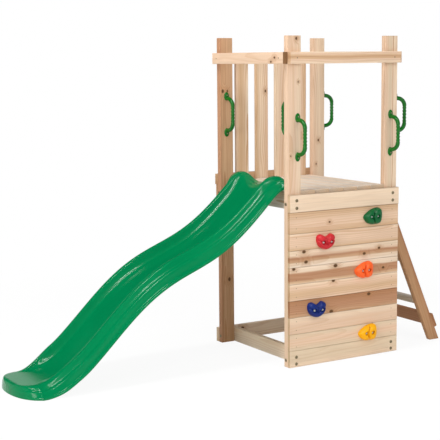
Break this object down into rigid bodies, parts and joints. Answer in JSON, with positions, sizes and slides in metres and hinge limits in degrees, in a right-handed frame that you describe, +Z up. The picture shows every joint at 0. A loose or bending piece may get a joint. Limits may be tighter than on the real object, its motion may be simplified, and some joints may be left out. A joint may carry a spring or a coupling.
{
  "type": "play tower with slide",
  "caption": "Small wooden play tower with a raised deck, a plank climbing wall with holds, a baluster side, a short leaning ladder, hand grips and a moulded wavy slide.",
  "frame": {"origin": "middle of the whole object's footprint, on the ground", "axes": "+X from the slide's foot towards the ladder, +Y from the climbing wall towards the baluster side, +Z up"},
  "size_m": [2.5259, 0.8056, 1.73],
  "materials": {
    "wood_pale": "planed, raw",
    "wood_tan": "planed, raw",
    "wood_brown": "planed, raw",
    "wood_grey": "planed, raw",
    "slide_green": "moulded, glossy",
    "grip_green": "moulded, satin",
    "hold_green": "moulded, satin",
    "hold_red": "moulded, satin",
    "hold_orange": "moulded, satin",
    "hold_blue": "moulded, satin",
    "hold_yellow": "moulded, satin"
  },
  "bodies": {
    "root": {"post_slide_back": "wood_tan", "post_slide_front": "wood_pale", "post_ladder_front": "wood_pale", "post_ladder_back": "wood_pale", "top_rail_slide": "wood_pale", "top_rail_ladder": "wood_tan", "top_rail_front": "wood_pale", "top_rail_back": "wood_tan", "deck_rail_slide": "wood_tan", "deck_rail_ladder": "wood_tan", "joist_front": "wood_tan", "joist_middle": "wood_tan", "joist_back": "wood_tan", "deck_board_1": "wood_grey", "deck_board_2": "wood_grey", "deck_board_3": "wood_grey", "deck_board_4": "wood_grey", "deck_board_5": "wood_grey", "deck_board_6": "wood_grey", "back_apron": "wood_tan", "baluster_rail": "wood_tan", "baluster_1": "wood_tan", "baluster_2": "wood_tan", "baluster_3": "wood_tan", "baluster_4": "wood_tan", "ground_rail_slide": "wood_pale", "ground_rail_ladder": "wood_pale", "ground_rail_back": "wood_tan", "wall_board_1": "wood_pale", "wall_board_2": "wood_tan", "wall_board_3": "wood_pale", "wall_board_4": "wood_tan", "wall_board_5": "wood_tan", "wall_board_6": "wood_tan", "wall_board_7": "wood_brown", "wall_board_8": "wood_pale", "wall_board_9": "wood_pale", "wall_board_10": "wood_pale", "ladder_rail_front": "wood_brown", "ladder_rail_back": "wood_brown", "tread_1": "wood_grey", "tread_2": "wood_grey", "tread_3": "wood_grey", "ladder_cross_board": "wood_grey", "slide": "slide_green", "grip_1": "grip_green", "grip_2": "grip_green", "grip_3": "grip_green", "grip_4": "grip_green", "grip_5": "grip_green", "grip_6": "grip_green", "hold_green": "hold_green", "hold_red": "hold_red", "hold_orange": "hold_orange", "hold_blue": "hold_blue", "hold_yellow": "hold_yellow"}
  },
  "joints": []
}
